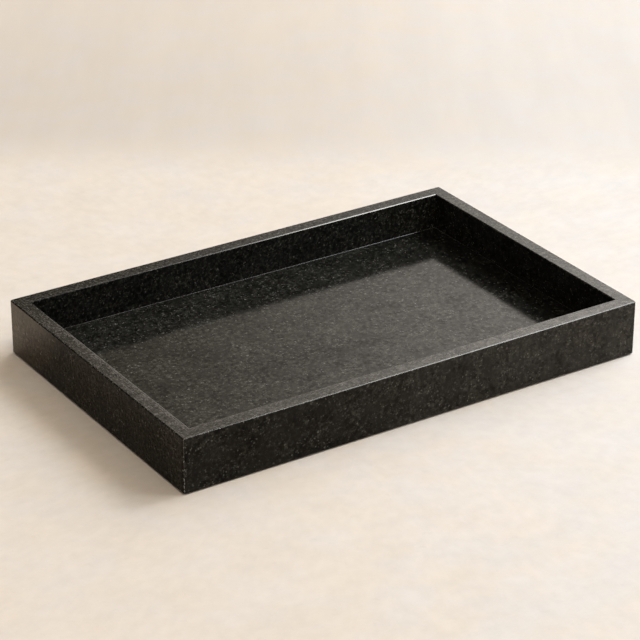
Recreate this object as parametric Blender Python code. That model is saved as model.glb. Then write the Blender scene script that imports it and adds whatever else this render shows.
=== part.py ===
"""Granite tray: polished stone strips glued round a stone slab, standing on rubber pads.

Lengths are in metres and +Z is up. The origin is on the table, under the middle of the tray.
X runs along the tray's long sides, and the front wall is at -Y.
"""
import math

import bmesh
import bpy
from mathutils import Matrix, Vector

# Outline of the tray
TRAY_LENGTH = 0.400
TRAY_DEPTH = 0.260

# Stone
WALL_THICKNESS = 0.012
SLAB_THICKNESS = 0.012
INNER_DEPTH = 0.030
TABLE_GAP = 0.001
WALL_EDGE_RADIUS = 0.0008
CORNER_RADIUS = 0.0020
SLAB_EDGE_RADIUS = 0.0003

# Glued joints: a film of epoxy, with a clearance to the stone on both of its sides
EPOXY_THICKNESS = 0.0004
SEAT_CLEARANCE = 0.0003
BEAD_RISE = 0.0004

# Non-slip pads, glued under the slab near its corners
PAD_DIAMETER = 0.020
PAD_HEIGHT = 0.0020
PAD_EDGE_RADIUS = 0.0006
PAD_EDGE_DISTANCE = 0.020
ADHESIVE_THICKNESS = 0.0004
ADHESIVE_MARGIN = 0.0010

# Smoothness of the round shapes
EDGE_STEPS = 3
CORNER_STEPS = 8
PAD_STEPS = 40
SLAB_EDGE_SEGMENTS = 2
SHARP_ANGLE = math.radians(35)

# Sizes that follow from the ones above
JOINT_WIDTH = EPOXY_THICKNESS + 2 * SEAT_CLEARANCE
SLAB_BOTTOM = PAD_HEIGHT + ADHESIVE_THICKNESS + 2 * SEAT_CLEARANCE
FLOOR_LEVEL = SLAB_BOTTOM + SLAB_THICKNESS
RIM_LEVEL = FLOOR_LEVEL + INNER_DEPTH
SLAB_LENGTH = TRAY_LENGTH - 2 * (WALL_THICKNESS + JOINT_WIDTH)
SLAB_DEPTH = TRAY_DEPTH - 2 * (WALL_THICKNESS + JOINT_WIDTH)

# Each side of the tray: its name, its length, how far it lies from the middle, and its turn about Z
SIDES = (
    ("front", TRAY_LENGTH, TRAY_DEPTH / 2, math.radians(0)),
    ("right", TRAY_DEPTH, TRAY_LENGTH / 2, math.radians(90)),
    ("back", TRAY_LENGTH, TRAY_DEPTH / 2, math.radians(180)),
    ("left", TRAY_DEPTH, TRAY_LENGTH / 2, math.radians(270)),
)

# Each corner of the tray: its name and on which side of the middle it lies along X and Y
CORNERS = (
    ("front_left", -1, -1),
    ("front_right", 1, -1),
    ("back_right", 1, 1),
    ("back_left", -1, 1),
)


def clear_scene():
    """Remove every object that the file starts with."""
    for thing in list(bpy.data.objects):
        bpy.data.objects.remove(thing, do_unlink=True)


def make_material(name, colour, roughness, specular=0.5):
    """Return a plain non-metallic material."""
    material = bpy.data.materials.new(name)
    material.use_nodes = True
    shader = material.node_tree.nodes["Principled BSDF"]
    shader.inputs["Base Color"].default_value = (*colour, 1.0)
    shader.inputs["Roughness"].default_value = roughness
    shader.inputs["Metallic"].default_value = 0.0
    shader.inputs["Specular IOR Level"].default_value = specular
    material.diffuse_color = (*colour, 1.0)
    return material


def granite_material(name):
    """Polished stone, almost black."""
    return make_material(name, (0.020, 0.020, 0.019), 0.15)


def epoxy_material(name):
    """Cured epoxy, tinted black to match the stone."""
    return make_material(name, (0.020, 0.020, 0.020), 0.25)


def rubber_material(name):
    """Dull black rubber."""
    return make_material(name, (0.018, 0.018, 0.018), 0.80, specular=0.3)


def adhesive_material(name):
    """Pale acrylic adhesive."""
    return make_material(name, (0.550, 0.540, 0.500), 0.50)


def add_object(name, mesh_data, material, parent, location, turn=0.0):
    """Turn a bmesh into a named object under its parent, placed by its location and its turn about Z."""
    bmesh.ops.recalc_face_normals(mesh_data, faces=mesh_data.faces)
    mesh = bpy.data.meshes.new(name)
    mesh_data.to_mesh(mesh)
    mesh_data.free()
    mesh.shade_smooth()
    mesh.set_sharp_from_angle(angle=SHARP_ANGLE)
    mesh.materials.append(material)
    thing = bpy.data.objects.new(name, mesh)
    bpy.context.collection.objects.link(thing)
    thing.parent = parent
    thing.location = location
    thing.rotation_euler = (0.0, 0.0, turn)
    return thing


def quarter_round(centre, radius, start_turn):
    """Return the points of a quarter circle, which turns clockwise from start_turn."""
    points = []
    for step in range(EDGE_STEPS + 1):
        angle = start_turn - math.pi / 2 * step / EDGE_STEPS
        points.append((centre[0] + radius * math.cos(angle), centre[1] + radius * math.sin(angle)))
    return points


def wall_profile():
    """Return a wall's section, as distances inward from its outer face and heights above the table."""
    radius = WALL_EDGE_RADIUS
    lower_outer = quarter_round((radius, TABLE_GAP + radius), radius, math.radians(270))
    upper_outer = quarter_round((radius, RIM_LEVEL - radius), radius, math.radians(180))
    upper_inner = quarter_round((WALL_THICKNESS - radius, RIM_LEVEL - radius), radius, math.radians(90))
    lower_inner = [(WALL_THICKNESS, TABLE_GAP)]
    return lower_outer + upper_outer + upper_inner + lower_inner


def floor_joint_profile():
    """Return a floor joint's section: a film beside the slab, with a bead that rises towards the wall."""
    wall_side = WALL_THICKNESS + SEAT_CLEARANCE
    slab_side = wall_side + EPOXY_THICKNESS
    return [
        (wall_side, SLAB_BOTTOM),
        (wall_side, FLOOR_LEVEL + BEAD_RISE),
        (slab_side, FLOOR_LEVEL),
        (slab_side, SLAB_BOTTOM),
    ]


def side_run(length, inset, corner_radius):
    """Return the plan of one line along a side, at its inset from the outer face, round both corners."""
    half = length / 2
    if inset >= corner_radius:
        return [(-half, inset), (half, inset)]
    points = []
    for side, first_turn in ((-1, math.radians(180)), (1, math.radians(270))):
        for step in range(CORNER_STEPS + 1):
            angle = first_turn + math.pi / 2 * step / CORNER_STEPS
            x = side * (half - corner_radius) + (corner_radius - inset) * math.cos(angle)
            y = corner_radius + (corner_radius - inset) * math.sin(angle)
            points.append((x, y))
    return points


def side_bar(length, profile, corner_radius):
    """Sweep a section along one side of the tray and round its corners, past where the mitres cut it."""
    bar = bmesh.new()
    runs = []
    for inset, height in profile:
        runs.append([bar.verts.new((x, y, height)) for x, y in side_run(length, inset, corner_radius)])
    for run, following in zip(runs, runs[1:] + runs[:1]):
        if len(run) == len(following):
            for near, far in zip(range(len(run) - 1), range(1, len(run))):
                bar.faces.new((run[near], run[far], following[far], following[near]))
        else:
            bar.faces.new(run + following[::-1])
    bar.faces.new([run[0] for run in runs])
    bar.faces.new([run[-1] for run in runs])
    return bar


def cut_mitres(bar, length, gap):
    """Cut both ends of a side's bar at 45 degrees, half the joint's gap back from the corner's diagonal."""
    for side in (-1, 1):
        outward = Vector((side, 1, 0)).normalized()
        point = Vector((side * length / 2, 0, 0)) - outward * gap / 2
        geometry = bar.verts[:] + bar.edges[:] + bar.faces[:]
        bmesh.ops.bisect_plane(bar, geom=geometry, plane_co=point, plane_no=outward, clear_outer=True)
        rim = [edge for edge in bar.edges if edge.is_boundary]
        bmesh.ops.contextual_create(bar, geom=rim)


def add_side_piece(name, profile, corner_radius, gap, material, parent, side):
    """Add a mitred piece along one side of the tray."""
    _, length, distance, turn = side
    bar = side_bar(length, profile, corner_radius)
    cut_mitres(bar, length, gap)
    place = Matrix.Rotation(turn, 3, "Z") @ Vector((0, -distance, 0))
    return add_object(name, bar, material, parent, place, turn)


def add_walls(parent):
    """Add the four walls, whose mitred ends leave room for the joint films."""
    for side in SIDES:
        name = side[0] + "_wall"
        add_side_piece(name, wall_profile(), CORNER_RADIUS, JOINT_WIDTH, granite_material(name), parent, side)


def add_floor_joints(parent):
    """Add the epoxy between the slab and each wall."""
    for side in SIDES:
        name = side[0] + "_floor_joint"
        material = epoxy_material(name)
        add_side_piece(name, floor_joint_profile(), 0.0, SEAT_CLEARANCE, material, parent, side)


def mitre_reach(inset):
    """Return how far along a corner's diagonal a line at this inset from the outer faces crosses it."""
    if inset >= CORNER_RADIUS:
        return inset * math.sqrt(2)
    return CORNER_RADIUS * math.sqrt(2) - (CORNER_RADIUS - inset)


def mitre_film():
    """Return an upright film of epoxy with the walls' section, along a corner's diagonal."""
    film = bmesh.new()
    faces = []
    for y in (-EPOXY_THICKNESS / 2, EPOXY_THICKNESS / 2):
        loop = [film.verts.new((mitre_reach(inset), y, height)) for inset, height in wall_profile()]
        faces.append(loop)
        film.faces.new(loop)
    near, far = faces
    for index in range(len(near)):
        film.faces.new((near[index - 1], near[index], far[index], far[index - 1]))
    return film


def add_mitre_joints(parent):
    """Add the epoxy film between the walls at each corner."""
    for corner, x_side, y_side in CORNERS:
        name = corner + "_mitre_joint"
        place = (x_side * TRAY_LENGTH / 2, y_side * TRAY_DEPTH / 2, 0)
        inward_turn = math.atan2(-y_side, -x_side)
        add_object(name, mitre_film(), epoxy_material(name), parent, place, inward_turn)


def add_slab(parent):
    """Add the stone slab inside the walls, with its edges eased."""
    size = Matrix.Diagonal((SLAB_LENGTH, SLAB_DEPTH, SLAB_THICKNESS, 1))
    block = bmesh.new()
    bmesh.ops.create_cube(block, size=1, matrix=size)
    middle = (0, 0, SLAB_BOTTOM + SLAB_THICKNESS / 2)
    slab = add_object("base_slab", block, granite_material("base_slab"), parent, middle)
    bevel = slab.modifiers.new("eased_edges", "BEVEL")
    bevel.width = SLAB_EDGE_RADIUS
    bevel.segments = SLAB_EDGE_SEGMENTS
    return slab


def turned_disc(radius, height, edge_radius):
    """Return a disc that stands on z = 0, with its lower edge rounded."""
    outline = [(radius, height)]
    if edge_radius:
        outline += quarter_round((radius - edge_radius, edge_radius), edge_radius, 0)
    else:
        outline.append((radius, 0))
    disc = bmesh.new()
    rings = []
    for reach, level in outline:
        ring = []
        for step in range(PAD_STEPS):
            angle = 2 * math.pi * step / PAD_STEPS
            ring.append(disc.verts.new((reach * math.cos(angle), reach * math.sin(angle), level)))
        rings.append(ring)
    for upper, lower in zip(rings, rings[1:]):
        for index in range(PAD_STEPS):
            disc.faces.new((upper[index - 1], upper[index], lower[index], lower[index - 1]))
    disc.faces.new(rings[0])
    disc.faces.new(rings[-1])
    return disc


def add_pads(parent):
    """Add a rubber pad and its adhesive disc under each corner of the slab."""
    adhesive_level = PAD_HEIGHT + SEAT_CLEARANCE
    adhesive_radius = PAD_DIAMETER / 2 - ADHESIVE_MARGIN
    for corner, x_side, y_side in CORNERS:
        x = x_side * (SLAB_LENGTH / 2 - PAD_EDGE_DISTANCE)
        y = y_side * (SLAB_DEPTH / 2 - PAD_EDGE_DISTANCE)
        name = corner + "_pad"
        disc = turned_disc(PAD_DIAMETER / 2, PAD_HEIGHT, PAD_EDGE_RADIUS)
        add_object(name, disc, rubber_material(name), parent, (x, y, 0))
        name = corner + "_pad_adhesive"
        disc = turned_disc(adhesive_radius, ADHESIVE_THICKNESS, 0.0)
        add_object(name, disc, adhesive_material(name), parent, (x, y, adhesive_level))


def build_tray():
    """Model the whole tray under one empty at its origin."""
    clear_scene()
    tray = bpy.data.objects.new("tray", None)
    bpy.context.collection.objects.link(tray)
    add_slab(tray)
    add_walls(tray)
    add_mitre_joints(tray)
    add_floor_joints(tray)
    add_pads(tray)


build_tray()
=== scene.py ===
"""Looks of the granite tray: polished stone, glued joints and pads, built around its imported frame.

Lengths are in metres and angles in degrees. X runs along the tray's long walls and +Z is up.
"""

import math
from types import SimpleNamespace

import bmesh
import bpy
from mathutils import Matrix, Vector


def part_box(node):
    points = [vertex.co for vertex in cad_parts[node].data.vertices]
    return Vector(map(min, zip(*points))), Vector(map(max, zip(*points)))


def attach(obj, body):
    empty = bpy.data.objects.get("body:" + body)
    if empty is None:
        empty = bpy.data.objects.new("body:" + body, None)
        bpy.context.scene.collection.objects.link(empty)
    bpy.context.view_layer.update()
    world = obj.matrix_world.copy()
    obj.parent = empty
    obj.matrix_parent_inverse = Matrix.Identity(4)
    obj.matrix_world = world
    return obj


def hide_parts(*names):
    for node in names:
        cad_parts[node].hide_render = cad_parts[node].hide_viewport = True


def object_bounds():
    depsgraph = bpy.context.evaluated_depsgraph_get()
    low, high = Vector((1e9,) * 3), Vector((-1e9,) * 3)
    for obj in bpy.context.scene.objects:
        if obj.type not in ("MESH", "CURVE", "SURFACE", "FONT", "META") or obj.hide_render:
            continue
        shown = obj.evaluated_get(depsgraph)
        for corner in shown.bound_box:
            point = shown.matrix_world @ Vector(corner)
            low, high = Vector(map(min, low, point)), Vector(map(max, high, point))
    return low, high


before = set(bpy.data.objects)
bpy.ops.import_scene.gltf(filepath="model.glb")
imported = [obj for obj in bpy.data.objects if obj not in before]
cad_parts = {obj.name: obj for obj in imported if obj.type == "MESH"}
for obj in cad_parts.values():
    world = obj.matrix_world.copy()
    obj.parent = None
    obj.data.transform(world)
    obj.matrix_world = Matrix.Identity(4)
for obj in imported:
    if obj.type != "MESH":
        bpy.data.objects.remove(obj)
CAD_LOW, CAD_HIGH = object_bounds()

# Sizes read from the frame
TRAY_LENGTH = CAD_HIGH.x - CAD_LOW.x
TRAY_DEPTH = CAD_HIGH.y - CAD_LOW.y
RIM_LEVEL = CAD_HIGH.z
WALL_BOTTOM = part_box("front_wall")[0].z
WALL_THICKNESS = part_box("front_wall")[1].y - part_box("front_wall")[0].y
SLAB_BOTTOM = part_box("base_slab")[0].z
FLOOR_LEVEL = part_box("base_slab")[1].z

# Stone edges and glued joints as they look
CORNER_RADIUS = 0.0020
ARRIS_WIDTH = 0.0007
ARRIS_RADIUS = 0.0004
ARRIS_ANGLE = 45
LOWER_EDGE_RADIUS = 0.0007
SLAB_EDGE_RADIUS = 0.00025
JOINT_GAP = 0.00016
FILM_SINK = 0.00006
BEAD_SIZE = 0.00035
EDGE_STEPS = 6
ARRIS_STEPS = 3
CORNER_STEPS = 12
SLAB_EDGE_STEPS = 3
BEAD_STEPS = 4
ROUND_PROFILE = 0.5
SHARP_ANGLE = 35

# Pads
PAD_EDGE_RADIUS = 0.0007
PAD_TOP_STEPS = 4
PAD_STEPS = 64

# Floor
FLOOR_REACH = 6.0
FLOOR_CELLS = 4

# Camera, fitted to the corners of the tray in the photograph, and moved left and up from facing the origin
FRAME_PIXELS = 640
FOCAL_PIXELS = 2676
SENSOR_MILLIMETRES = 36.0
CAMERA_AZIMUTH = -33.193
CAMERA_ELEVATION = 26.427
CAMERA_ROLL = 0.236
CAMERA_DISTANCE = 2.0558
CAMERA_LEFT = 0.00230
CAMERA_UP = 0.02560

# Key light: a window to the right of the tray
KEY_PLACE = (0.92, -0.13, 1.10)
KEY_SIZE = 0.40
KEY_POWER = 6.55
KEY_COLOUR = (0.81, 0.90, 1.0)

# Soft lights of the room: azimuth from +Y towards +X, elevation, full out to, gone at, and colour
SOFT_LIGHTS = (
    (75, 25, 15, 45, (2.10, 2.05, 2.06)),
    (75, 45, 15, 52, (0.72, 0.58, 0.38)),
    (120, 30, 15, 45, (0.30, 0.32, 0.34)),
    (124.5, 48.5, 1, 7.5, (15.20, 14.80, 14.20)),
    (200, 55, 5, 30, (3.45, 2.92, 2.38)),
)
ROOM_GLOW = (0.01, 0.008, 0.006)
ROOM_CAMERA_COLOUR = (0.86, 0.79, 0.71, 1.0)

# Sides: length, distance from the middle, and turn about Z
SIDES = (
    ("front", TRAY_LENGTH, TRAY_DEPTH / 2, 0),
    ("right", TRAY_DEPTH, TRAY_LENGTH / 2, 90),
    ("back", TRAY_LENGTH, TRAY_DEPTH / 2, 180),
    ("left", TRAY_DEPTH, TRAY_LENGTH / 2, 270),
)
# Corners: which side of the middle they are on, along X and along Y
CORNERS = (
    ("front_left", -1, -1),
    ("front_right", 1, -1),
    ("back_right", 1, 1),
    ("back_left", -1, 1),
)

# Each side's looks. Places along a side are measured from its middle, to the right as seen from outside.
# Reach is two places, and how far the change between them leans with the height. Shine, rim and wear are the
# values at the two places: how the faces shine, how the rim shines, and how worn the rim is. The shine of
# faces, rim and edges is painted reflection, set stronger or weaker where a side catches more or less light,
# and the wear is partly real wear and partly a painted highlight on the rim. Stone is two more places and how
# pale the stone is there, which is painted light and shade: paler or darker where more or less light falls.
# Edge is two places and how the ground edges shine there. Contrast is how strongly the crystals stand out,
# and the tint, where there is one, is a painted reflection colour on the shine of the outer face.
SIDE_LOOKS = {
    "front": {
        "reach": (-0.14, 0.17, 0.0), "shine": (0.105, 0.315), "rim": (0.75, 1.20), "wear_and_highlight": (0.55, 0.15),
        "stone": (-0.20, 0.20, 1.0, 1.0), "edge": (-0.06, 0.04, 1.00, 0.90), "contrast": 0.74,
        "painted_reflection_tint": (1.16, 1.0, 0.84, 1.0),
    },
    "right": {
        "reach": (-0.13, 0.13, 0.0), "shine": (0.90, 1.00), "rim": (0.84, 0.66), "wear_and_highlight": (0.30, 0.30),
        "stone": (-0.13, 0.13, 1.25, 1.4), "edge": (-0.13, 0.13, 1.0, 1.0), "contrast": 1.05,
        "painted_reflection_tint": None,
    },
    "back": {
        "reach": (-0.20, 0.20, 0.0), "shine": (0.60, 0.40), "rim": (0.39, 0.24), "wear_and_highlight": (0.10, 0.10),
        "stone": (-0.20, 0.20, 1.16, 0.82), "edge": (-0.12, 0.04, 1.07, 0.45), "contrast": 1.05,
        "painted_reflection_tint": None,
    },
    "left": {
        "reach": (-0.14, -0.03, 0.6), "shine": (0.42, 0.06), "rim": (0.42, 0.77), "wear_and_highlight": (0.00, 0.85),
        "stone": (-0.13, 0.13, 1.0, 1.0), "edge": (-0.13, 0.13, 1.0, 1.1), "contrast": 1.10,
        "painted_reflection_tint": (1.60, 1.0, 0.35, 1.0),
    },
}
# The slab's look paints light and shade: its stone is painted darker beside the right wall, where that wall
# shades the floor, and its shine grows towards the right as a painted sheen.
SLAB_LOOK = {
    "reach": (-0.10, 0.12, 0.0), "shine": (0.335, 0.49), "rim": (0.5, 0.5), "wear_and_highlight": (0.0, 0.0),
    "stone": (0.12, 0.178, 1.27, 0.60), "edge": (-0.20, 0.20, 1.0, 1.0), "contrast": 1.0,
    "painted_reflection_tint": None,
}
SLAB_SEED = 6


# Camera and light

def add_camera():
    """Place the camera as the photograph's was: its frame's axes, then its distance and framing."""
    azimuth = math.radians(CAMERA_AZIMUTH)
    elevation = math.radians(CAMERA_ELEVATION)
    roll = math.radians(CAMERA_ROLL)
    back = Vector((
        math.sin(azimuth) * math.cos(elevation),
        -math.cos(azimuth) * math.cos(elevation),
        math.sin(elevation),
    ))
    level = Vector((math.cos(azimuth), math.sin(azimuth), 0))
    upright = back.cross(level)
    right = level * math.cos(roll) + upright * math.sin(roll)
    up = upright * math.cos(roll) - level * math.sin(roll)
    data = bpy.data.cameras.new("camera")
    data.sensor_width = SENSOR_MILLIMETRES
    data.lens = FOCAL_PIXELS / FRAME_PIXELS * SENSOR_MILLIMETRES
    camera = bpy.data.objects.new("camera", data)
    turn = Matrix((right, up, back)).transposed().to_4x4()
    place = back * CAMERA_DISTANCE - right * CAMERA_LEFT + up * CAMERA_UP
    camera.matrix_world = Matrix.Translation(place) @ turn
    bpy.context.scene.collection.objects.link(camera)
    bpy.context.scene.camera = camera


def add_key_light():
    """Add the window to the right of the tray, as a square lamp."""
    data = bpy.data.lights.new("key_light", "AREA")
    data.size = KEY_SIZE
    data.energy = KEY_POWER
    data.color = KEY_COLOUR
    light = bpy.data.objects.new("key_light", data)
    light.location = KEY_PLACE
    light.rotation_euler = Vector(KEY_PLACE).to_track_quat("Z", "Y").to_euler()
    bpy.context.scene.collection.objects.link(light)


# Nodes

# The mix node's sockets by number, because several of them have the same name
MIX_VALUE_A, MIX_VALUE_B, MIX_VALUE_RESULT = 2, 3, 0
MIX_COLOUR_A, MIX_COLOUR_B, MIX_COLOUR_RESULT = 6, 7, 2


def set_inputs(tree, node, inputs):
    """Set a node's inputs. Each value is a number, a colour, or the socket that feeds the input."""
    for key, value in inputs.items():
        if isinstance(value, bpy.types.NodeSocket):
            tree.links.new(value, node.inputs[key])
        else:
            node.inputs[key].default_value = value


def add_node(tree, kind, inputs=None, **settings):
    """Add a node with its settings and inputs."""
    node = tree.nodes.new(kind)
    for name, value in settings.items():
        setattr(node, name, value)
    set_inputs(tree, node, inputs or {})
    return node


def value_of(tree, operation, first, second):
    """Return what an operation gives for two values."""
    return add_node(tree, "ShaderNodeMath", {0: first, 1: second}, operation=operation).outputs[0]


def sum_of(tree, first, second):
    """Return the sum of two values."""
    return value_of(tree, "ADD", first, second)


def product_of(tree, first, second):
    """Return the product of two values."""
    return value_of(tree, "MULTIPLY", first, second)


def larger_of(tree, first, second):
    """Return the larger of two values."""
    return value_of(tree, "MAXIMUM", first, second)


def vector_of(tree, operation, first, second):
    """Return what an operation gives for two vectors or colours."""
    return add_node(tree, "ShaderNodeVectorMath", {0: first, 1: second}, operation=operation).outputs[0]


def scaled_by(tree, vector, scale):
    """Return a vector or colour times a value."""
    inputs = {0: vector, "Scale": scale}
    return add_node(tree, "ShaderNodeVectorMath", inputs, operation="SCALE").outputs[0]


def distance_along(tree, vector, direction):
    """Return how far along a direction a vector reaches."""
    node = add_node(tree, "ShaderNodeVectorMath", {0: vector, 1: direction}, operation="DOT_PRODUCT")
    return node.outputs["Value"]


def smooth_step(tree, value, start, end, low=0.0, high=1.0):
    """Return a value that goes smoothly from low to high while the given one goes from start to end."""
    inputs = {"Value": value, "From Min": start, "From Max": end, "To Min": low, "To Max": high}
    return add_node(tree, "ShaderNodeMapRange", inputs, interpolation_type="SMOOTHSTEP").outputs["Result"]


def noise_of(tree, place, scale, detail, rough=0.5, output="Fac"):
    """Return a noise of the given scale, detail and roughness, as a value or as a colour."""
    inputs = {"Vector": place, "Scale": scale, "Detail": detail, "Roughness": rough}
    return add_node(tree, "ShaderNodeTexNoise", inputs).outputs[output]


def stretched_noise(tree, first, second, scales, detail, rough):
    """Return a noise value over two distances, with a scale for each of them."""
    scaled = {0: product_of(tree, first, scales[0]), 1: product_of(tree, second, scales[1])}
    place = add_node(tree, "ShaderNodeCombineXYZ", scaled).outputs[0]
    return noise_of(tree, place, 1.0, detail, rough)


def mix_of(tree, share, first, second):
    """Return a mix of two colours."""
    inputs = {"Factor": share, MIX_COLOUR_A: first, MIX_COLOUR_B: second}
    return add_node(tree, "ShaderNodeMix", inputs, data_type="RGBA").outputs[MIX_COLOUR_RESULT]


def blend_of(tree, share, first, second):
    """Return a mix of two values."""
    inputs = {"Factor": share, MIX_VALUE_A: first, MIX_VALUE_B: second}
    return add_node(tree, "ShaderNodeMix", inputs, data_type="FLOAT").outputs[MIX_VALUE_RESULT]


def ramp_of(tree, value, stops):
    """Return the colour that a row of places and colours gives for a value."""
    node = add_node(tree, "ShaderNodeValToRGB", {"Fac": value})
    elements = node.color_ramp.elements
    while len(elements) < len(stops):
        elements.new(1.0)
    for element, (place, colour) in zip(elements, stops):
        element.position = place
        element.color = colour
    return node.outputs["Color"]


def relief_of(tree, height, strength, distance):
    """Return which way a surface faces where its height varies."""
    inputs = {"Strength": strength, "Distance": distance, "Height": height}
    return add_node(tree, "ShaderNodeBump", inputs).outputs[0]


# World

def soft_light(tree, direction, azimuth, elevation, inner, outer, colour):
    """Return the light that one round, soft-edged patch of the room sends from each direction."""
    turn, lift = math.radians(azimuth), math.radians(elevation)
    middle = (math.sin(turn) * math.cos(lift), math.cos(turn) * math.cos(lift), math.sin(lift))
    edges = math.cos(math.radians(outer)), math.cos(math.radians(inner))
    level = smooth_step(tree, distance_along(tree, direction, middle), *edges)
    return scaled_by(tree, colour, level)


def add_world():
    """Light the room with its soft patches over a faint glow. The camera sees a plain pale colour instead."""
    world = bpy.data.worlds.new("room")
    bpy.context.scene.world = world
    world.use_nodes = True
    tree = world.node_tree
    tree.nodes.clear()
    direction = add_node(tree, "ShaderNodeTexCoord").outputs["Generated"]
    light = ROOM_GLOW
    for patch in SOFT_LIGHTS:
        light = vector_of(tree, "ADD", light, soft_light(tree, direction, *patch))
    room = add_node(tree, "ShaderNodeBackground", {"Color": light})
    plain = add_node(tree, "ShaderNodeBackground", {"Color": ROOM_CAMERA_COLOUR})
    seen = add_node(tree, "ShaderNodeLightPath").outputs["Is Camera Ray"]
    both = add_node(tree, "ShaderNodeMixShader", {0: seen, 1: room.outputs[0], 2: plain.outputs[0]})
    add_node(tree, "ShaderNodeOutputWorld", {"Surface": both.outputs[0]})


# Materials

# Below, a noise is its scale, its detail and, where it isn't a half, its roughness. A step is the two values
# that it lies between and, where they aren't 0 and 1, what it gives there. A relief is a bump's strength and
# height. Nearly all of a noise's values lie in the noise span.
NOISE_SPAN = (0.2, 0.8)
NOISE_MIDDLE = (0.5, 0.5, 0.5)
WHITE = (1.0, 1.0, 1.0, 1.0)


def new_material(name):
    """Return a new material, its nodes, and the place on the object that its patterns follow."""
    material = bpy.data.materials.new(name)
    material.use_nodes = True
    tree = material.node_tree
    return material, tree, add_node(tree, "ShaderNodeTexCoord").outputs["Object"]


def set_surface(tree, inputs):
    """Set the inputs of a material's shader."""
    set_inputs(tree, tree.nodes["Principled BSDF"], inputs)


# Granite: its minerals from dark to pale, its other colours, and how rough its faces and its rim are
MINERALS = (
    (0.00, (0.0014, 0.0015, 0.0014, 1.0)),
    (0.25, (0.0034, 0.0037, 0.0033, 1.0)),
    (0.50, (0.0082, 0.0088, 0.0080, 1.0)),
    (0.75, (0.0199, 0.0213, 0.0195, 1.0)),
    (1.00, (0.0476, 0.0507, 0.0473, 1.0)),
)
FLECK = (0.1860, 0.1910, 0.1830, 1.0)
PLAIN_STONE = (0.0116, 0.0122, 0.0113, 1.0)
WARM_TINT = (1.12, 1.0, 0.86, 1.0)
COOL_TINT = (0.92, 1.0, 1.04, 1.0)
# The worn edge colour is the pale grey of worn stone, and also a painted highlight along the rim's inner edge
WORN_EDGE_AND_HIGHLIGHT = (0.129, 0.127, 0.121, 1.0)
# The chip colour is pale bluish-white: partly chipped stone and partly painted glints on the upright edges
CHIP_GLINT = (0.800, 0.850, 0.930, 1.0)
STONE_IOR = 1.4
FACE_ROUGHNESS = 0.11
RIM_ROUGHNESS = 0.20

# Where each piece is cut from the stone, and how its crystals' outlines are warped
SEED_STEPS = (0.731, 1.377, 0.517)
WARP_NOISE = (420.0, 3.0)
WARP_REACH = 0.0016

# Ground edges are told by the largest part of their normal, and the upright ones among them by its upward
# part. The rim's face is told by its depth below the highest level.
EDGE_STEP = (0.84, 0.74)
UPRIGHT_STEP = (0.4, 0.2)
RIM_START_DEPTH = 0.0003
RIM_FULL_DEPTH = 0.0001

# Crystals: how pale they are, by clouds, clusters and single crystals
CLOUD_NOISE = (32.0, 3.0)
CLUSTER_NOISE = (330.0, 4.0, 0.65)
CRYSTAL_SCALE = 800.0
CLOUD_SHARE = 0.35
CLUSTER_SHARE = 1.25
CRYSTAL_SHARE = 0.12
TONE_STEP = (0.41, 1.31)

# Colours of the crystals: warm and cool ones, fine specks and larger flecks, both likelier on pale stone
HUE_NOISE = (260.0, 3.0)
SPECK_NOISE = (800.0, 3.0, 0.6)
SPECK_TONE_SHARE = 0.16
SPECK_STEP = (0.70, 0.94)
FLECK_SCALE = 950.0
FLECK_TONE_SHARE = 0.05
FLECK_STEP = (0.975, 1.05, 0.0, 0.6)

# How strongly the crystals stand out on the faces: less and more in patches, as shares of a side's contrast
CONTRAST_NOISE = (60.0, 3.0)
CONTRAST_STEP = (0.38, 0.60)
CONTRAST_SHARES = (0.60, 1.30)

# Worn spots on the ground edges, and how strong they stay on upright edges and on unworn sides
SPOT_NOISE = (620.0, 3.0)
SPOT_STEP = (0.55, 0.66)
UPRIGHT_SPOTS = 0.3
UNWORN_SPOTS = 0.35

# Wear on the rim beside its inner edge, partly real scuffs and partly a painted highlight: a margin and a
# line, as distances from the wall's inner face, and scuffs in streaks along it; the line is a painted
# highlight
MARGIN_START = 0.0060
MARGIN_LINE_START = 0.0016
MARGIN_END = 0.0009
MARGIN_LINE_PAINTED_HIGHLIGHT = 0.9
SCUFF_SCALES = (400.0, 900.0)
SCUFF_DETAIL = 3.0
SCUFF_ROUGH = 0.6
SCUFF_PATCH_NOISE = (110.0, 2.0)
SCUFF_PATCH_STEP = (0.50, 0.62, 0.0, 0.8)
SCUFF_LIMIT_STEP = (0.0, 1.5, 0.47, 0.33)
SCUFF_STEP = (0.0, 0.30, 0.0, 0.90)

# Chips on the upright edges, painted pale bluish-white so that they are partly chips and partly painted
# glints, fainter towards the rim
CHIP_GLINT_NOISE = (420.0, 1.0)
CHIP_GLINT_STEP = (0.60, 0.64)
CHIP_GLINTS_AT_RIM = 0.35

# Polish: its unevenness, its loss where it is worn, its shine on dark and on pale crystals, its relief, and
# how far in from the outer face its painted reflection tint fades
POLISH_NOISE = (900.0, 2.0)
POLISH_CHANGE = 0.02
WORN_ROUGHNESS = 0.15
CRYSTAL_SHINE = (0.50, 1.60)
STONE_RELIEF = (0.06, 0.00004)
OUTER_FACE_STEP = (0.001, 0.002)


def place_in_stone(tree, here, seed):
    """Return the place in the stone, which is another spot for each piece, and the same place warped."""
    shift = Vector([seed * step for step in SEED_STEPS])
    moved = vector_of(tree, "ADD", here, shift)
    wobble = noise_of(tree, moved, *WARP_NOISE, output="Color")
    centred = vector_of(tree, "SUBTRACT", wobble, NOISE_MIDDLE)
    warped = vector_of(tree, "ADD", moved, scaled_by(tree, centred, WARP_REACH))
    return moved, warped


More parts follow.
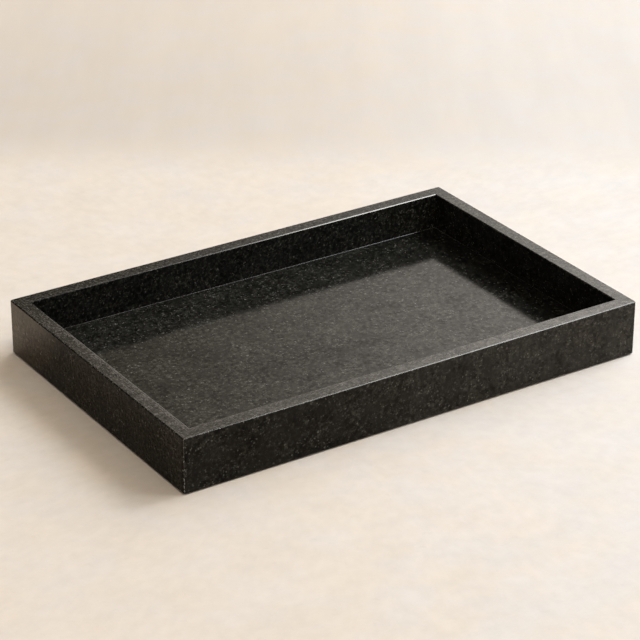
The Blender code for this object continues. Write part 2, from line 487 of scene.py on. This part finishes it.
def side_axes(tree, here, turn, distance):
    """Return a place's distance along a side, its distance in from the outer face, and its height."""
    inputs = {"Vector": here, "Location": (0.0, distance, 0.0), "Rotation": (0.0, 0.0, -math.radians(turn))}
    turned_place = add_node(tree, "ShaderNodeMapping", inputs).outputs[0]
    return add_node(tree, "ShaderNodeSeparateXYZ", {0: turned_place}).outputs


def edge_masks(tree):
    """Return where the ground edges are, and which of them are upright, by how the surface faces."""
    facing = add_node(tree, "ShaderNodeTexCoord").outputs["Normal"]
    sizes = add_node(tree, "ShaderNodeVectorMath", {0: facing}, operation="ABSOLUTE").outputs[0]
    x_size, y_size, z_size = add_node(tree, "ShaderNodeSeparateXYZ", {0: sizes}).outputs
    largest = larger_of(tree, larger_of(tree, x_size, y_size), z_size)
    edge = smooth_step(tree, largest, *EDGE_STEP)
    return edge, product_of(tree, edge, smooth_step(tree, z_size, *UPRIGHT_STEP))


def change_along(tree, stone, start, end, lean):
    """Return how far a side's looks have changed between two places along it, which lean with the height."""
    inputs = {0: stone.height, 1: -lean, 2: stone.along}
    leaning = add_node(tree, "ShaderNodeMath", inputs, operation="MULTIPLY_ADD").outputs[0]
    return smooth_step(tree, leaning, start - lean * RIM_LEVEL, end - lean * RIM_LEVEL)


def worn_spots(tree, stone, wear_and_highlight):
    """Return the worn spots on the ground edges."""
    spots = smooth_step(tree, noise_of(tree, stone.moved, *SPOT_NOISE), *SPOT_STEP)
    spots = product_of(tree, stone.edge, spots)
    spots = product_of(tree, spots, smooth_step(tree, stone.upright, 0.0, 1.0, 1.0, UPRIGHT_SPOTS))
    return product_of(tree, spots, smooth_step(tree, wear_and_highlight, 0.0, 1.0, UNWORN_SPOTS, 1.0))


def worn_margin(tree, stone, wear_and_highlight):
    """Return the wear on the rim beside its inner edge, partly real scuffs and partly a painted highlight:
    streaky scuffs in patches, and a painted highlight line.
    """
    streaks = stretched_noise(tree, stone.along, stone.inset, SCUFF_SCALES, SCUFF_DETAIL, SCUFF_ROUGH)
    end = WALL_THICKNESS - MARGIN_END
    margin = smooth_step(tree, stone.inset, WALL_THICKNESS - MARGIN_START, end)
    patches = smooth_step(tree, noise_of(tree, stone.moved, *SCUFF_PATCH_NOISE), *SCUFF_PATCH_STEP)
    margin = sum_of(tree, product_of(tree, margin, wear_and_highlight), product_of(tree, patches, wear_and_highlight))
    over = value_of(tree, "SUBTRACT", streaks, smooth_step(tree, margin, *SCUFF_LIMIT_STEP))
    scuffs = smooth_step(tree, over, *SCUFF_STEP)
    highlight_line = smooth_step(tree, stone.inset, WALL_THICKNESS - MARGIN_LINE_START, end)
    highlight_line = product_of(tree, product_of(tree, highlight_line, wear_and_highlight), MARGIN_LINE_PAINTED_HIGHLIGHT)
    return product_of(tree, stone.rim, larger_of(tree, scuffs, highlight_line))


def grain_value(tree, place, scale):
    """Return a random value for each crystal of the stone."""
    cells = add_node(tree, "ShaderNodeTexVoronoi", {"Vector": place, "Scale": scale})
    return add_node(tree, "ShaderNodeSeparateColor", {0: cells.outputs["Color"]}).outputs[0]


def crystal_tone(tree, stone):
    """Return how pale the stone is, from 0 to 1: crystals and clusters of them, in faint clouds."""
    clouds = product_of(tree, noise_of(tree, stone.moved, *CLOUD_NOISE), CLOUD_SHARE)
    clusters = product_of(tree, noise_of(tree, stone.warped, *CLUSTER_NOISE), CLUSTER_SHARE)
    crystals = product_of(tree, grain_value(tree, stone.warped, CRYSTAL_SCALE), CRYSTAL_SHARE)
    tone = sum_of(tree, sum_of(tree, clusters, crystals), clouds)
    return smooth_step(tree, tone, *TONE_STEP)


def crystal_contrast(tree, stone, strength):
    """Return how strongly the crystals stand out: patchily on the faces, and fully on the rim."""
    noise = noise_of(tree, stone.moved, *CONTRAST_NOISE)
    least, most = CONTRAST_SHARES
    patches = smooth_step(tree, noise, *CONTRAST_STEP, least * strength, most * strength)
    return blend_of(tree, stone.rim, patches, 1.0)


def stone_places(tree, here, seed, look, turn, distance):
    """Return what the stone's looks follow: places in it, distances in a side's own frame, and masks."""
    stone = SimpleNamespace()
    stone.moved, stone.warped = place_in_stone(tree, here, seed)
    stone.along, stone.inset, stone.height = side_axes(tree, here, turn, distance)
    stone.edge, stone.upright = edge_masks(tree)
    stone.rim = smooth_step(tree, stone.height, RIM_LEVEL - RIM_START_DEPTH, RIM_LEVEL - RIM_FULL_DEPTH)
    stone.change = change_along(tree, stone, *look["reach"])
    wear_and_highlight = blend_of(tree, stone.change, *look["wear_and_highlight"])
    stone.worn = sum_of(tree, worn_spots(tree, stone, wear_and_highlight), worn_margin(tree, stone, wear_and_highlight))
    stone.tone = crystal_tone(tree, stone)
    stone.contrast = crystal_contrast(tree, stone, look["contrast"])
    return stone


def crystal_colour(tree, stone):
    """Return the crystals' colour: dark greys by tone, some warmer than others, and scattered pale flecks."""
    hue = mix_of(tree, noise_of(tree, stone.moved, *HUE_NOISE), WARM_TINT, COOL_TINT)
    colour = vector_of(tree, "MULTIPLY", ramp_of(tree, stone.tone, MINERALS), hue)
    specks = noise_of(tree, stone.warped, *SPECK_NOISE)
    specks = sum_of(tree, specks, product_of(tree, stone.tone, SPECK_TONE_SHARE))
    colour = mix_of(tree, smooth_step(tree, specks, *SPECK_STEP), colour, FLECK)
    flecks = grain_value(tree, stone.warped, FLECK_SCALE)
    flecks = sum_of(tree, flecks, product_of(tree, stone.tone, FLECK_TONE_SHARE))
    colour = mix_of(tree, smooth_step(tree, flecks, *FLECK_STEP), colour, FLECK)
    return mix_of(tree, stone.contrast, PLAIN_STONE, colour)


def stone_colour(tree, stone, look):
    """Return the stone's colour: its crystals, made paler or darker along each side as painted light and
    shade, worn places on the edges and rim that are partly a painted highlight, and chips that are partly
    painted glints.
    """
    # Painted light and shade: each side's stone is scaled paler or darker along it where more or less light
    # falls.
    colour = scaled_by(tree, crystal_colour(tree, stone), smooth_step(tree, stone.along, *look["stone"]))
    colour = mix_of(tree, stone.worn, colour, WORN_EDGE_AND_HIGHLIGHT)
    chip_glints = smooth_step(tree, noise_of(tree, stone.moved, *CHIP_GLINT_NOISE), *CHIP_GLINT_STEP)
    chip_glints = product_of(tree, stone.upright, chip_glints)
    chip_glints = product_of(tree, chip_glints, smooth_step(tree, stone.height, 0.0, RIM_LEVEL, 1.0, CHIP_GLINTS_AT_RIM))
    return mix_of(tree, chip_glints, colour, CHIP_GLINT)


def stone_roughness(tree, stone):
    """Return how rough the polish is: faintly uneven, and rougher on the rim and where it is worn."""
    roughness = smooth_step(tree, stone.rim, 0.0, 1.0, FACE_ROUGHNESS, RIM_ROUGHNESS)
    noise = noise_of(tree, stone.moved, *POLISH_NOISE)
    uneven = smooth_step(tree, noise, *NOISE_SPAN, -POLISH_CHANGE, POLISH_CHANGE)
    roughness = sum_of(tree, roughness, uneven)
    return sum_of(tree, roughness, product_of(tree, stone.worn, WORN_ROUGHNESS))


def stone_shine(tree, stone, look):
    """Return how strongly the polish shines: by kind of face, more on pale crystals than on dark ones, and by
    side and place along it as painted reflection.
    """
    faces = blend_of(tree, stone.change, *look["shine"])
    rim = blend_of(tree, stone.change, *look["rim"])
    crystals = smooth_step(tree, stone.tone, 0.0, 1.0, *CRYSTAL_SHINE)
    level = blend_of(tree, stone.rim, faces, rim)
    level = product_of(tree, level, blend_of(tree, stone.contrast, 1.0, crystals))
    return blend_of(tree, stone.edge, level, smooth_step(tree, stone.along, *look["edge"]))


def painted_shine_tint(tree, stone, painted_reflection_tint):
    """Return the colour of the shine: a painted reflection tint on the outer face, and white elsewhere."""
    inside = smooth_step(tree, stone.inset, *OUTER_FACE_STEP)
    plain = larger_of(tree, larger_of(tree, stone.rim, stone.edge), inside)
    return mix_of(tree, plain, painted_reflection_tint, WHITE)


def granite_material(name, seed, look, turn=0, distance=0.0):
    """Return polished black granite, with a side's looks, its turn and its distance from the middle."""
    material, tree, here = new_material(name)
    stone = stone_places(tree, here, seed, look, turn, distance)
    inputs = {
        "Base Color": stone_colour(tree, stone, look),
        "Roughness": stone_roughness(tree, stone),
        "IOR": STONE_IOR,
        "Specular IOR Level": stone_shine(tree, stone, look),
        "Normal": relief_of(tree, stone.tone, *STONE_RELIEF),
    }
    # Painted reflection colour: the outer face's shine is tinted warm or golden.
    if look["painted_reflection_tint"]:
        inputs["Specular Tint"] = painted_shine_tint(tree, stone, look["painted_reflection_tint"])
    set_surface(tree, inputs)
    return material


# Epoxy: tinted to match the stone, and a little lumpy
EPOXY_DARK = (0.010, 0.010, 0.010, 1.0)
EPOXY_PALE = (0.030, 0.029, 0.027, 1.0)
EPOXY_NOISE = (700.0, 2.0)
EPOXY_ROUGHNESS = (0.18, 0.34)
EPOXY_RELIEF = (0.25, 0.0001)
EPOXY_SHINE = 0.62


def epoxy_material(name):
    """Return the epoxy of a joint."""
    material, tree, here = new_material(name)
    lumps = noise_of(tree, here, *EPOXY_NOISE)
    set_surface(tree, {
        "Base Color": mix_of(tree, lumps, EPOXY_DARK, EPOXY_PALE),
        "Roughness": smooth_step(tree, lumps, *NOISE_SPAN, *EPOXY_ROUGHNESS),
        "Specular IOR Level": EPOXY_SHINE,
        "Normal": relief_of(tree, lumps, *EPOXY_RELIEF),
    })
    return material


# Rubber: dull black, dusty in places, with a fine moulded grain
RUBBER_DARK = (0.012, 0.012, 0.012, 1.0)
RUBBER_DUSTY = (0.030, 0.029, 0.028, 1.0)
RUBBER_GRAIN = (2600.0, 3.0)
RUBBER_DUST = (160.0, 4.0)
RUBBER_ROUGHNESS = (0.65, 0.85)
RUBBER_RELIEF = (0.4, 0.00008)


def rubber_material(name):
    """Return the rubber of a pad."""
    material, tree, here = new_material(name)
    dust = noise_of(tree, here, *RUBBER_DUST)
    set_surface(tree, {
        "Base Color": mix_of(tree, dust, RUBBER_DARK, RUBBER_DUSTY),
        "Roughness": smooth_step(tree, dust, *NOISE_SPAN, *RUBBER_ROUGHNESS),
        "Normal": relief_of(tree, noise_of(tree, here, *RUBBER_GRAIN), *RUBBER_RELIEF),
    })
    return material


# Adhesive: pale acrylic, slightly uneven
ADHESIVE_DARK = (0.46, 0.45, 0.41, 1.0)
ADHESIVE_PALE = (0.60, 0.59, 0.55, 1.0)
ADHESIVE_NOISE = (500.0, 3.0)
ADHESIVE_ROUGHNESS = (0.35, 0.55)


def adhesive_material(name):
    """Return the adhesive of a disc."""
    material, tree, here = new_material(name)
    streaks = noise_of(tree, here, *ADHESIVE_NOISE)
    set_surface(tree, {
        "Base Color": mix_of(tree, streaks, ADHESIVE_DARK, ADHESIVE_PALE),
        "Roughness": smooth_step(tree, streaks, *NOISE_SPAN, *ADHESIVE_ROUGHNESS),
    })
    return material


# Plaster: its colours to the left and right, which are painted shade and light, darker and warmer to the left
# where less light falls, its stains, the directions across and away in the picture, where the colours meet
# across it, and where its far part, with its painted shade, starts and is full
PLASTER_LEFT_PAINTED_SHADE = (0.764, 0.727, 0.688, 1.0)
PLASTER_RIGHT_PAINTED_LIGHT = (0.790, 0.778, 0.772, 1.0)
PLASTER_COOL = (0.988, 1.004, 1.025, 1.0)
PLASTER_OCHRE = (1.010, 0.994, 0.962, 1.0)
PLASTER_ROUGHNESS = 0.75
PLASTER_ACROSS = (0.837, -0.547, 0.0)
PLASTER_AWAY = (0.547, 0.837, 0.0)
PLASTER_PAINTED_SHADE_STEP = (-0.06, 0.24)
FAR_PAINTED_SHADE_STEP = (0.33, 0.45)

# How the near plaster is stained, mottled, pitted and specked
STAIN_NOISE = (20.0, 6.0, 0.62)
STAIN_STEP = (0.3, 0.7)
MOTTLE_NOISE = (24.0, 8.0, 0.66)
MOTTLE_STEP = (0.25, 0.75, 0.970, 1.025)
PIT_NOISE = (85.0, 4.0, 0.6)
PIT_STEP = (0.60, 0.72, 1.0, 0.965)
SPECK_SHADE_NOISE = (95.0, 4.0, 0.68)
SPECK_SHADE_STEP = (0.25, 0.75, 0.972, 1.028)

# How the far plaster is painted with shade, darker to the left and lighter with the distance, and streaked
FAR_PAINTED_SHADE_ACROSS = (-0.27, 0.22, 0.85, 0.925)
FAR_PAINTED_SHADE_AWAY = (0.50, 0.85, 1.0, 1.10)
STREAK_SCALES = (26.0, 5.0)
STREAK_DETAIL = 4.0
STREAK_ROUGH = 0.6
STREAK_STEP = (0.3, 0.7, 0.98, 1.02)


def near_shade(tree, here):
    """Return how light the plaster round the tray is: mottled, pitted and specked."""
    mottles = smooth_step(tree, noise_of(tree, here, *MOTTLE_NOISE), *MOTTLE_STEP)
    pits = smooth_step(tree, noise_of(tree, here, *PIT_NOISE), *PIT_STEP)
    specks = smooth_step(tree, noise_of(tree, here, *SPECK_SHADE_NOISE), *SPECK_SHADE_STEP)
    return product_of(tree, product_of(tree, mottles, pits), specks)


def far_painted_shade(tree, across, away):
    """Return the far plaster's painted shade: a little darker, more so to the left and less with the
    distance, and streaky.
    """
    shade = smooth_step(tree, across, *FAR_PAINTED_SHADE_ACROSS)
    shade = product_of(tree, shade, smooth_step(tree, away, *FAR_PAINTED_SHADE_AWAY))
    streaks = stretched_noise(tree, across, away, STREAK_SCALES, STREAK_DETAIL, STREAK_ROUGH)
    return product_of(tree, shade, smooth_step(tree, streaks, *STREAK_STEP))


def floor_material(name):
    """Return pale cream plaster, faintly stained, with painted shade that makes it a little darker and warmer
    to the left and darker in its far part.
    """
    material, tree, here = new_material(name)
    across = distance_along(tree, here, PLASTER_ACROSS)
    away = distance_along(tree, here, PLASTER_AWAY)
    colour = mix_of(tree, smooth_step(tree, across, *PLASTER_PAINTED_SHADE_STEP), PLASTER_LEFT_PAINTED_SHADE, PLASTER_RIGHT_PAINTED_LIGHT)
    stains = smooth_step(tree, noise_of(tree, here, *STAIN_NOISE), *STAIN_STEP)
    colour = vector_of(tree, "MULTIPLY", colour, mix_of(tree, stains, PLASTER_COOL, PLASTER_OCHRE))
    # Painted shade: the plaster turns darker where its far part starts.
    far = smooth_step(tree, away, *FAR_PAINTED_SHADE_STEP)
    shade = blend_of(tree, far, near_shade(tree, here), far_painted_shade(tree, across, away))
    set_surface(tree, {
        "Base Color": scaled_by(tree, colour, shade),
        "Roughness": PLASTER_ROUGHNESS,
        "Specular IOR Level": 0.0,
    })
    return material


# Shapes

def arc_points(centre, radius, start, steps, sweep=-90):
    """Return the points of an arc about a centre, from a start angle through a sweep."""
    points = []
    for step in range(steps + 1):
        angle = math.radians(start + sweep * step / steps)
        points.append((centre[0] + radius * math.cos(angle), centre[1] + radius * math.sin(angle)))
    return points


def wall_section():
    """Return a wall's section, as distances inward from its outer face and heights above the table.

    The lower edges are round. The upper ones are ground off at an angle, and the edges of that are eased.
    """
    low, ease, turn = LOWER_EDGE_RADIUS, ARRIS_RADIUS, ARRIS_ANGLE
    start = ARRIS_WIDTH + ease * math.tan(math.radians(turn / 2))
    thick = WALL_THICKNESS
    points = arc_points((low, WALL_BOTTOM + low), low, 270, EDGE_STEPS)
    points += arc_points((ease, RIM_LEVEL - start), ease, 180, ARRIS_STEPS, -turn)
    points += arc_points((start, RIM_LEVEL - ease), ease, 90 + turn, ARRIS_STEPS, -turn)
    points += arc_points((thick - start, RIM_LEVEL - ease), ease, 90, ARRIS_STEPS, -turn)
    points += arc_points((thick - ease, RIM_LEVEL - start), ease, turn, ARRIS_STEPS, -turn)
    points += arc_points((thick - low, WALL_BOTTOM + low), low, 0, EDGE_STEPS)
    return points


def floor_joint_section():
    """Return a floor joint's section: a hollow bead above the floor, and a film down the slab's side."""
    inner = WALL_THICKNESS
    bead = arc_points((inner + BEAD_SIZE, FLOOR_LEVEL + BEAD_SIZE), BEAD_SIZE, 180, BEAD_STEPS, 90)
    film = [(inner + JOINT_GAP, FLOOR_LEVEL), (inner + JOINT_GAP, SLAB_BOTTOM), (inner, SLAB_BOTTOM)]
    return bead + film


def side_run(length, inset, corner_radius):
    """Return the plan of one line along a side, at its inset from the outer face, round both corners."""
    half = length / 2
    if inset >= corner_radius:
        return [(-half, inset), (half, inset)]
    reach = corner_radius - inset
    left = arc_points((corner_radius - half, corner_radius), reach, 180, CORNER_STEPS, 90)
    right = arc_points((half - corner_radius, corner_radius), reach, 270, CORNER_STEPS, 90)
    return left + right


def side_bar(length, section, corner_radius):
    """Sweep a section along one side of the tray and round its corners, past where the mitres cut it."""
    bar = bmesh.new()
    runs = []
    for inset, height in section:
        runs.append([bar.verts.new((x, y, height)) for x, y in side_run(length, inset, corner_radius)])
    for run, following in zip(runs, runs[1:] + runs[:1]):
        if len(run) == len(following):
            for index in range(1, len(run)):
                bar.faces.new((run[index - 1], run[index], following[index], following[index - 1]))
        else:
            bar.faces.new(run + following[::-1])
    bar.faces.new([run[0] for run in runs])
    bar.faces.new([run[-1] for run in runs])
    return bar


def cut_mitres(bar, length, gap):
    """Cut both ends of a side's bar at 45 degrees, half the joint's gap back from the corner's diagonal."""
    for side in (-1, 1):
        outward = Vector((side, 1, 0)).normalized()
        point = Vector((side * length / 2, 0, 0)) - outward * gap / 2
        geometry = bar.verts[:] + bar.edges[:] + bar.faces[:]
        bmesh.ops.bisect_plane(bar, geom=geometry, plane_co=point, plane_no=outward, clear_outer=True)
        rim = [edge for edge in bar.edges if edge.is_boundary]
        bmesh.ops.contextual_create(bar, geom=rim)


def finish_piece(name, shape, material, nodes, place=None):
    """Turn a bmesh into a piece that rides on the tray and stands for its CAD nodes."""
    bmesh.ops.recalc_face_normals(shape, faces=shape.faces)
    if place is not None:
        shape.transform(place)
    mesh = bpy.data.meshes.new(name)
    shape.to_mesh(mesh)
    shape.free()
    mesh.shade_smooth()
    mesh.set_sharp_from_angle(angle=math.radians(SHARP_ANGLE))
    mesh.materials.append(material)
    piece = bpy.data.objects.new(name, mesh)
    bpy.context.scene.collection.objects.link(piece)
    weighted = piece.modifiers.new("flat_faces_stay_flat", "WEIGHTED_NORMAL")
    weighted.keep_sharp = True
    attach(piece, "root")
    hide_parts(*nodes)


def side_place(distance, turn):
    """Return the transform from a side's own frame to its place in the tray."""
    spin = Matrix.Rotation(math.radians(turn), 4, "Z")
    return spin @ Matrix.Translation((0, -distance, 0))


def add_walls():
    """Add the four walls, each cut from its own part of the stone."""
    for seed, (side, length, distance, turn) in enumerate(SIDES, start=1):
        name = side + "_wall"
        bar = side_bar(length, wall_section(), CORNER_RADIUS)
        cut_mitres(bar, length, JOINT_GAP)
        material = granite_material(name + "_granite", seed, SIDE_LOOKS[side], turn, distance)
        finish_piece("polished_" + name, bar, material, [name], side_place(distance, turn))


def add_slab():
    """Add the slab whose top is the tray's floor."""
    size = (
        TRAY_LENGTH - 2 * (WALL_THICKNESS + JOINT_GAP),
        TRAY_DEPTH - 2 * (WALL_THICKNESS + JOINT_GAP),
        FLOOR_LEVEL - SLAB_BOTTOM,
    )
    block = bmesh.new()
    middle = Matrix.Translation((0, 0, (FLOOR_LEVEL + SLAB_BOTTOM) / 2))
    bmesh.ops.create_cube(block, size=1, matrix=middle @ Matrix.Diagonal((*size, 1)))
    bmesh.ops.bevel(
        block, geom=block.edges[:], offset=SLAB_EDGE_RADIUS, segments=SLAB_EDGE_STEPS,
        profile=ROUND_PROFILE, affect="EDGES",
    )
    material = granite_material("slab_granite", SLAB_SEED, SLAB_LOOK)
    finish_piece("polished_slab", block, material, ["base_slab"])


def add_floor_joints():
    """Add the epoxy round the slab."""
    for side, length, distance, turn in SIDES:
        name = side + "_floor_joint"
        bar = side_bar(length, floor_joint_section(), 0.0)
        cut_mitres(bar, length, 0.0)
        material = epoxy_material(name + "_epoxy")
        finish_piece("epoxy_" + name, bar, material, [name], side_place(distance, turn))


def mitre_reach(inset):
    """Return how far along a corner's diagonal a line at this inset from the outer faces crosses it."""
    if inset >= CORNER_RADIUS:
        return inset * math.sqrt(2)
    return CORNER_RADIUS * math.sqrt(2) - (CORNER_RADIUS - inset)


def sunk(value, low, high):
    """Return a value moved a little inward from both ends of its range."""
    return min(max(value, low + FILM_SINK), high - FILM_SINK)


def mitre_film():
    """Return the thin upright film of epoxy along a corner's diagonal."""
    film = bmesh.new()
    section = wall_section()
    loops = []
    for y in (-JOINT_GAP / 2, JOINT_GAP / 2):
        loop = []
        for inset, height in section:
            reach = mitre_reach(sunk(inset, 0, WALL_THICKNESS))
            loop.append(film.verts.new((reach, y, sunk(height, WALL_BOTTOM, RIM_LEVEL))))
        loops.append(loop)
        film.faces.new(loop)
    near, far = loops
    for index in range(len(near)):
        film.faces.new((near[index - 1], near[index], far[index], far[index - 1]))
    return film


def add_mitre_joints():
    """Add the epoxy film between the walls at each corner."""
    for corner, x_side, y_side in CORNERS:
        name = corner + "_mitre_joint"
        turn = Matrix.Rotation(math.atan2(-y_side, -x_side), 4, "Z")
        place = Matrix.Translation((x_side * TRAY_LENGTH / 2, y_side * TRAY_DEPTH / 2, 0)) @ turn
        material = epoxy_material(name + "_epoxy")
        finish_piece("epoxy_" + name, mitre_film(), material, [name], place)


def turned(outline, steps):
    """Return a solid turned about the Z axis from an outline of radii and heights, top to bottom."""
    solid = bmesh.new()
    rings = []
    for reach, level in outline:
        ring = []
        for step in range(steps):
            angle = 2 * math.pi * step / steps
            ring.append(solid.verts.new((reach * math.cos(angle), reach * math.sin(angle), level)))
        rings.append(ring)
    for upper, lower in zip(rings, rings[1:]):
        for index in range(steps):
            solid.faces.new((upper[index - 1], upper[index], lower[index], lower[index - 1]))
    solid.faces.new(rings[0])
    solid.faces.new(rings[-1])
    return solid


def add_pad(name):
    """Add a rubber pad. Its upper edge is rounded half as much as its lower one."""
    low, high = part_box(name)
    middle = (low + high) / 2
    radius = (high.x - low.x) / 2
    edge, upper_edge = PAD_EDGE_RADIUS, PAD_EDGE_RADIUS / 2
    top = (radius - upper_edge, high.z - low.z - upper_edge)
    outline = arc_points(top, upper_edge, 90, PAD_TOP_STEPS)
    outline += arc_points((radius - edge, edge), edge, 0, EDGE_STEPS)
    place = Matrix.Translation((middle.x, middle.y, low.z))
    material = rubber_material(name + "_rubber")
    finish_piece("rubber_" + name, turned(outline, PAD_STEPS), material, [name], place)


def add_disc(name, pad_top):
    """Add a disc of adhesive, from the top of its pad to the slab."""
    low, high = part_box(name)
    middle = (low + high) / 2
    radius = (high.x - low.x) / 2
    outline = [(radius, SLAB_BOTTOM - pad_top), (radius, 0)]
    place = Matrix.Translation((middle.x, middle.y, pad_top))
    material = adhesive_material(name)
    finish_piece("disc_" + name, turned(outline, PAD_STEPS), material, [name], place)


def add_pads():
    """Add the rubber pads and the adhesive that holds them to the slab."""
    for corner, _, _ in CORNERS:
        name = corner + "_pad"
        add_pad(name)
        add_disc(name + "_adhesive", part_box(name)[1].z)


# Stage

def add_floor():
    """Add the pale surface that the tray stands on."""
    shape = bmesh.new()
    bmesh.ops.create_grid(shape, x_segments=FLOOR_CELLS, y_segments=FLOOR_CELLS, size=FLOOR_REACH)
    mesh = bpy.data.meshes.new("floor")
    shape.to_mesh(mesh)
    shape.free()
    mesh.materials.append(floor_material("plaster"))
    floor = bpy.data.objects.new("floor", mesh)
    bpy.context.scene.collection.objects.link(floor)


bpy.context.scene.view_settings.view_transform = "Standard"
add_camera()
add_key_light()
add_world()
add_floor()
add_walls()
add_slab()
add_floor_joints()
add_mitre_joints()
add_pads()
